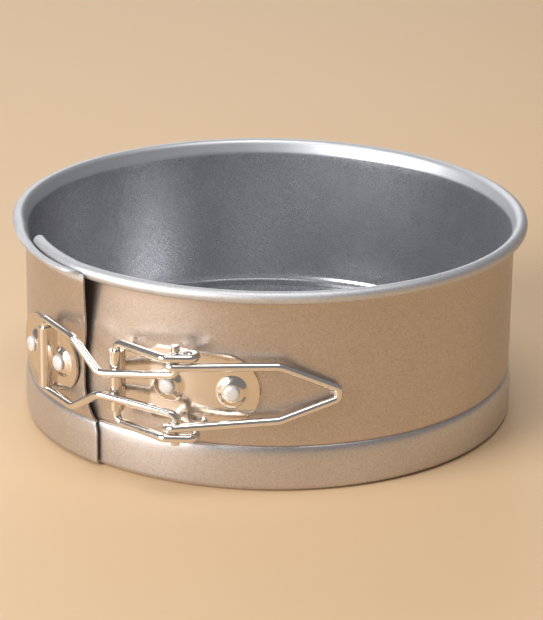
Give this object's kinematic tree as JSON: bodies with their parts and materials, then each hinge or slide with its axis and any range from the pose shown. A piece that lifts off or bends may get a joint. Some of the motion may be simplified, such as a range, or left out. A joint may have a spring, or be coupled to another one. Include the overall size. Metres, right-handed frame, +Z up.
{
  "type": "springform pan",
  "caption": "Small round springform cake pan: a split sheet-metal ring with a wire over-centre clasp grips a loose tray base and lifts off it.",
  "frame": {"origin": "on the pan's axis, at the flat underside of the base that it stands on", "axes": "+Z up along the pan's axis; the clasp faces -Y"},
  "size_m": [0.1588, 0.1611, 0.0622],
  "materials": {
    "coated_tray": "dark satin non-stick coating on sheet steel",
    "coated_ring": "warm grey metallic non-stick coating with fine sparkle on sheet steel",
    "plated_plate": "polished nickel plate on pressed steel",
    "plated_wire": "bright nickel plate on steel wire",
    "rivet_metal": "matt tumbled aluminium"
  },
  "bodies": {
    "base": {"base_tray": "coated_tray"},
    "ring": {"ring_inner_end": "coated_ring", "lever_bracket": "plated_plate", "lever_rivet_near": "rivet_metal", "lever_rivet_far": "rivet_metal"},
    "lever": {"lever_wire": "plated_wire"},
    "link": {"link_wire": "plated_wire"},
    "outer_end": {"ring_outer_end": "coated_ring", "catch_bracket": "plated_plate", "catch_rivet_near": "rivet_metal", "catch_rivet_far": "rivet_metal"}
  },
  "joints": [
    {"name": "ring_lift", "type": "slide", "parent": "base", "child": "ring", "axis": [0, 0, 1], "range_m": [0, 0.08], "deforming": ["ring_inner_end"]},
    {"name": "lever_swing", "type": "hinge", "parent": "ring", "child": "lever", "pos_m": [-0.04381, -0.06753, 0.0305], "axis": [0, 0, -1], "range_deg": [0, 95]},
    {"name": "link_swing", "type": "hinge", "parent": "lever", "child": "link", "pos_m": [-0.02638, -0.07764, 0.0305], "axis": [0, 0, 1], "range_deg": [0, 70.44]},
    {"name": "ring_open", "type": "hinge", "parent": "link", "child": "outer_end", "pos_m": [-0.06632, -0.04474, 0.0305], "axis": [0, 0, 1], "range_deg": [0, 18.9], "deforming": ["ring_outer_end"]}
  ],
  "couplings": [
    {"joint": "link_swing", "follows": "lever_swing", "ratio": 0.74095},
    {"joint": "ring_open", "follows": "lever_swing", "ratio": 0.19838}
  ]
}
